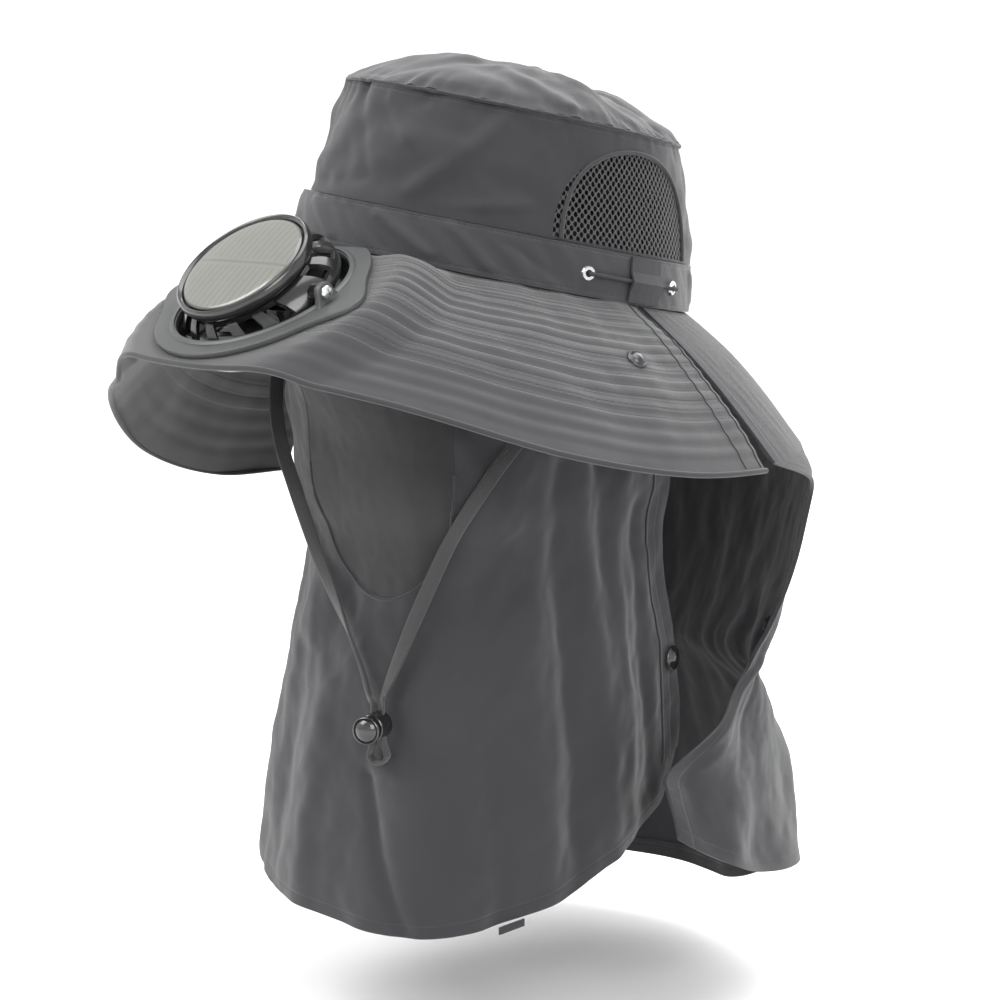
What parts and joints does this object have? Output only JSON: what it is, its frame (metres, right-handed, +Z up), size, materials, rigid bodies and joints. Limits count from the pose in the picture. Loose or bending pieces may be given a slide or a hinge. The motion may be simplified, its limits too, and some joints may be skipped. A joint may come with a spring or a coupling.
{
  "type": "sun hat",
  "caption": "Sun hat as worn, with a stiff brim, face veil, neck cape, vented crown, chin strap with a cord lock, and a tilting brim fan under a solar disc.",
  "frame": {"origin": "centre of the headband opening, where the hat sits on the head", "axes": "+Z up, -Y straight ahead of the wearer, +X to the wearer's left"},
  "size_m": [0.3281, 0.3428, 0.4129],
  "materials": {
    "crown_top": "plain woven cloth",
    "crown_side": "plain woven cloth",
    "vent_mesh_left": "knitted net",
    "vent_mesh_right": "knitted net",
    "hat_band": "plain woven cloth",
    "eyelet_front_left": "polished",
    "eyelet_rear_left": "polished",
    "eyelet_front_right": "polished",
    "eyelet_rear_right": "polished",
    "drawcord": "elastic cord",
    "cord_tunnel_left": "plain woven cloth",
    "cord_tunnel_right": "plain woven cloth",
    "brim": "plain woven cloth",
    "brim_binding": "plain woven cloth",
    "neck_cape": "plain woven cloth",
    "face_veil": "plain woven cloth",
    "veil_mesh": "knitted net",
    "placket_left": "plain woven cloth",
    "placket_right": "plain woven cloth",
    "hem_tab": "plain woven cloth",
    "brim_snap_left": "dark gunmetal",
    "brim_snap_right": "dark gunmetal",
    "veil_snap_left": "gloss",
    "veil_snap_right": "gloss",
    "cape_snap_left": "dark gunmetal",
    "cape_snap_right": "dark gunmetal",
    "fan_base": "satin",
    "hinge_screw_left": "polished",
    "hinge_screw_right": "polished",
    "lower_grille": "gloss",
    "fan_cage": "gloss",
    "solar_housing": "gloss",
    "solar_cells": "printed cell under resin",
    "solar_cover": "clear cast resin",
    "fan_motor": "gloss",
    "fan_rotor": "gloss",
    "lock_body": "gloss",
    "lock_button": "gloss",
    "chin_strap": "woven webbing"
  },
  "bodies": {
    "hat": {"crown_top": "crown_top", "crown_side": "crown_side", "vent_mesh_left": "vent_mesh_left", "vent_mesh_right": "vent_mesh_right", "hat_band": "hat_band", "eyelet_front_left": "eyelet_front_left", "eyelet_rear_left": "eyelet_rear_left", "eyelet_front_right": "eyelet_front_right", "eyelet_rear_right": "eyelet_rear_right", "drawcord": "drawcord", "cord_tunnel_left": "cord_tunnel_left", "cord_tunnel_right": "cord_tunnel_right", "brim": "brim", "brim_binding": "brim_binding", "neck_cape": "neck_cape", "face_veil": "face_veil", "veil_mesh": "veil_mesh", "placket_left": "placket_left", "placket_right": "placket_right", "hem_tab": "hem_tab", "brim_snap_left": "brim_snap_left", "brim_snap_right": "brim_snap_right", "veil_snap_left": "veil_snap_left", "veil_snap_right": "veil_snap_right", "cape_snap_left": "cape_snap_left", "cape_snap_right": "cape_snap_right", "fan_base": "fan_base", "hinge_screw_left": "hinge_screw_left", "hinge_screw_right": "hinge_screw_right", "lower_grille": "lower_grille", "lock_body": "lock_body", "chin_strap": "chin_strap"},
    "fan_head": {"fan_cage": "fan_cage", "solar_housing": "solar_housing", "solar_cells": "solar_cells", "solar_cover": "solar_cover", "fan_motor": "fan_motor"},
    "rotor": {"fan_rotor": "fan_rotor"},
    "lock_button": {"lock_button": "lock_button"}
  },
  "joints": [
    {"name": "fan_tilt", "type": "hinge", "parent": "hat", "child": "fan_head", "pos_m": [0, -0.14531, 0.00061], "axis": [1, 0, 0], "range_deg": [-12, 5]},
    {"name": "rotor_spin", "type": "hinge", "parent": "fan_head", "child": "rotor", "pos_m": [0, -0.14531, 0.00061], "axis": [0, -0.6293, 0.7771], "continuous": true},
    {"name": "lock_press", "type": "slide", "parent": "hat", "child": "lock_button", "axis": [-0.3746, 0.9272, 0], "range_m": [0, 0.0025], "stiffness_N_per_m": 600, "springref_m": -0.002}
  ]
}
